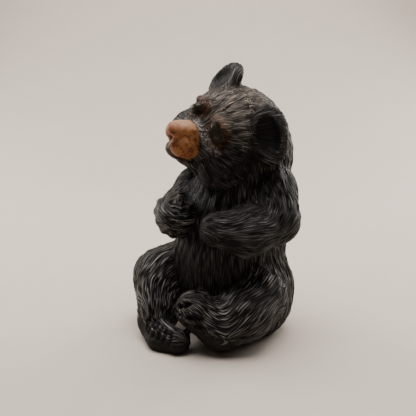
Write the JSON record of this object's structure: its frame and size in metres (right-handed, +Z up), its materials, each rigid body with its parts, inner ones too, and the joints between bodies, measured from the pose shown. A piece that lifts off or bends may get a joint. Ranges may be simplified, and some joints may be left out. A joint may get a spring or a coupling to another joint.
{
  "type": "seated animal figurine",
  "caption": "Seated bear cub figurine with its head tilted to one side, paws on its chest and carved fur, cast in ceramic in one piece.",
  "frame": {"origin": "middle of the bounding box, on the plane that the figurine sits on", "axes": "+Z up, -Y the way the chest and feet face, +X the bear's own left side"},
  "size_m": [0.1114, 0.1102, 0.18],
  "materials": {
    "dark_glaze": "dark brown-black glaze, half worn off the ridges of the fur, with a tan muzzle"
  },
  "bodies": {
    "root": {"bear_cub": "dark_glaze"}
  },
  "joints": []
}
